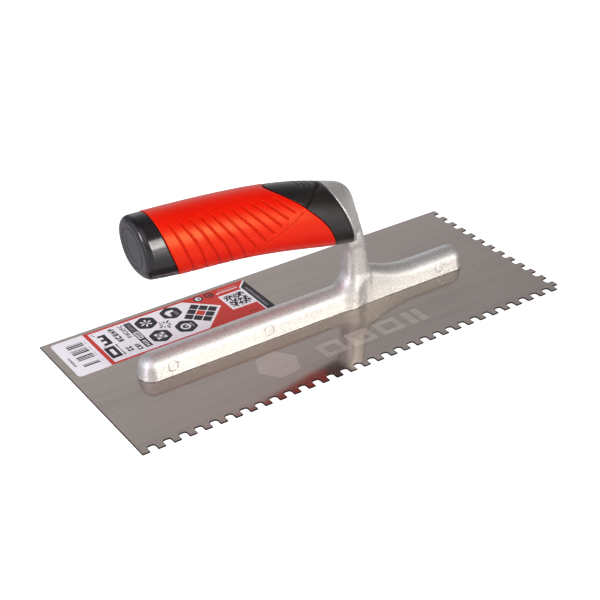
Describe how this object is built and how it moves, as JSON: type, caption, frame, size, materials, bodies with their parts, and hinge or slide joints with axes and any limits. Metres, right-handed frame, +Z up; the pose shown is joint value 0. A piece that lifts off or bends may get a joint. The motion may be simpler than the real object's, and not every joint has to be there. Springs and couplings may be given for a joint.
{
  "type": "notched trowel",
  "caption": "Hand trowel with a thin rectangular steel blade notched along a long and a short edge, a die-cast rail and shank above it, and a soft-grip moulded handle.",
  "frame": {"origin": "centre of the blade's underside", "axes": "+X along the blade towards its notched short edge and the shank, -Y towards the notched long edge, +Z up from the blade towards the handle"},
  "size_m": [0.28, 0.12, 0.0972],
  "materials": {
    "blade_steel": "brushed lengthwise, lightly oiled",
    "label_film": "printed gloss film",
    "cast_alloy": "tumbled die casting",
    "rivet_alloy": "ground flush",
    "hard_plastic": "satin moulded",
    "soft_grip": "matt soft moulded",
    "cap_plastic": "satin moulded",
    "screw_steel": "zinc plated"
  },
  "bodies": {
    "root": {"blade": "blade_steel", "label": "label_film", "mount_casting": "cast_alloy", "rivet_1": "rivet_alloy", "rivet_2": "rivet_alloy", "rivet_3": "rivet_alloy", "rivet_4": "rivet_alloy", "rivet_5": "rivet_alloy", "rivet_6": "rivet_alloy", "rivet_7": "rivet_alloy", "handle_core": "hard_plastic", "grip_sleeve": "soft_grip", "end_cap": "cap_plastic", "tang_screw": "screw_steel", "tang_washer": "screw_steel"}
  },
  "joints": []
}
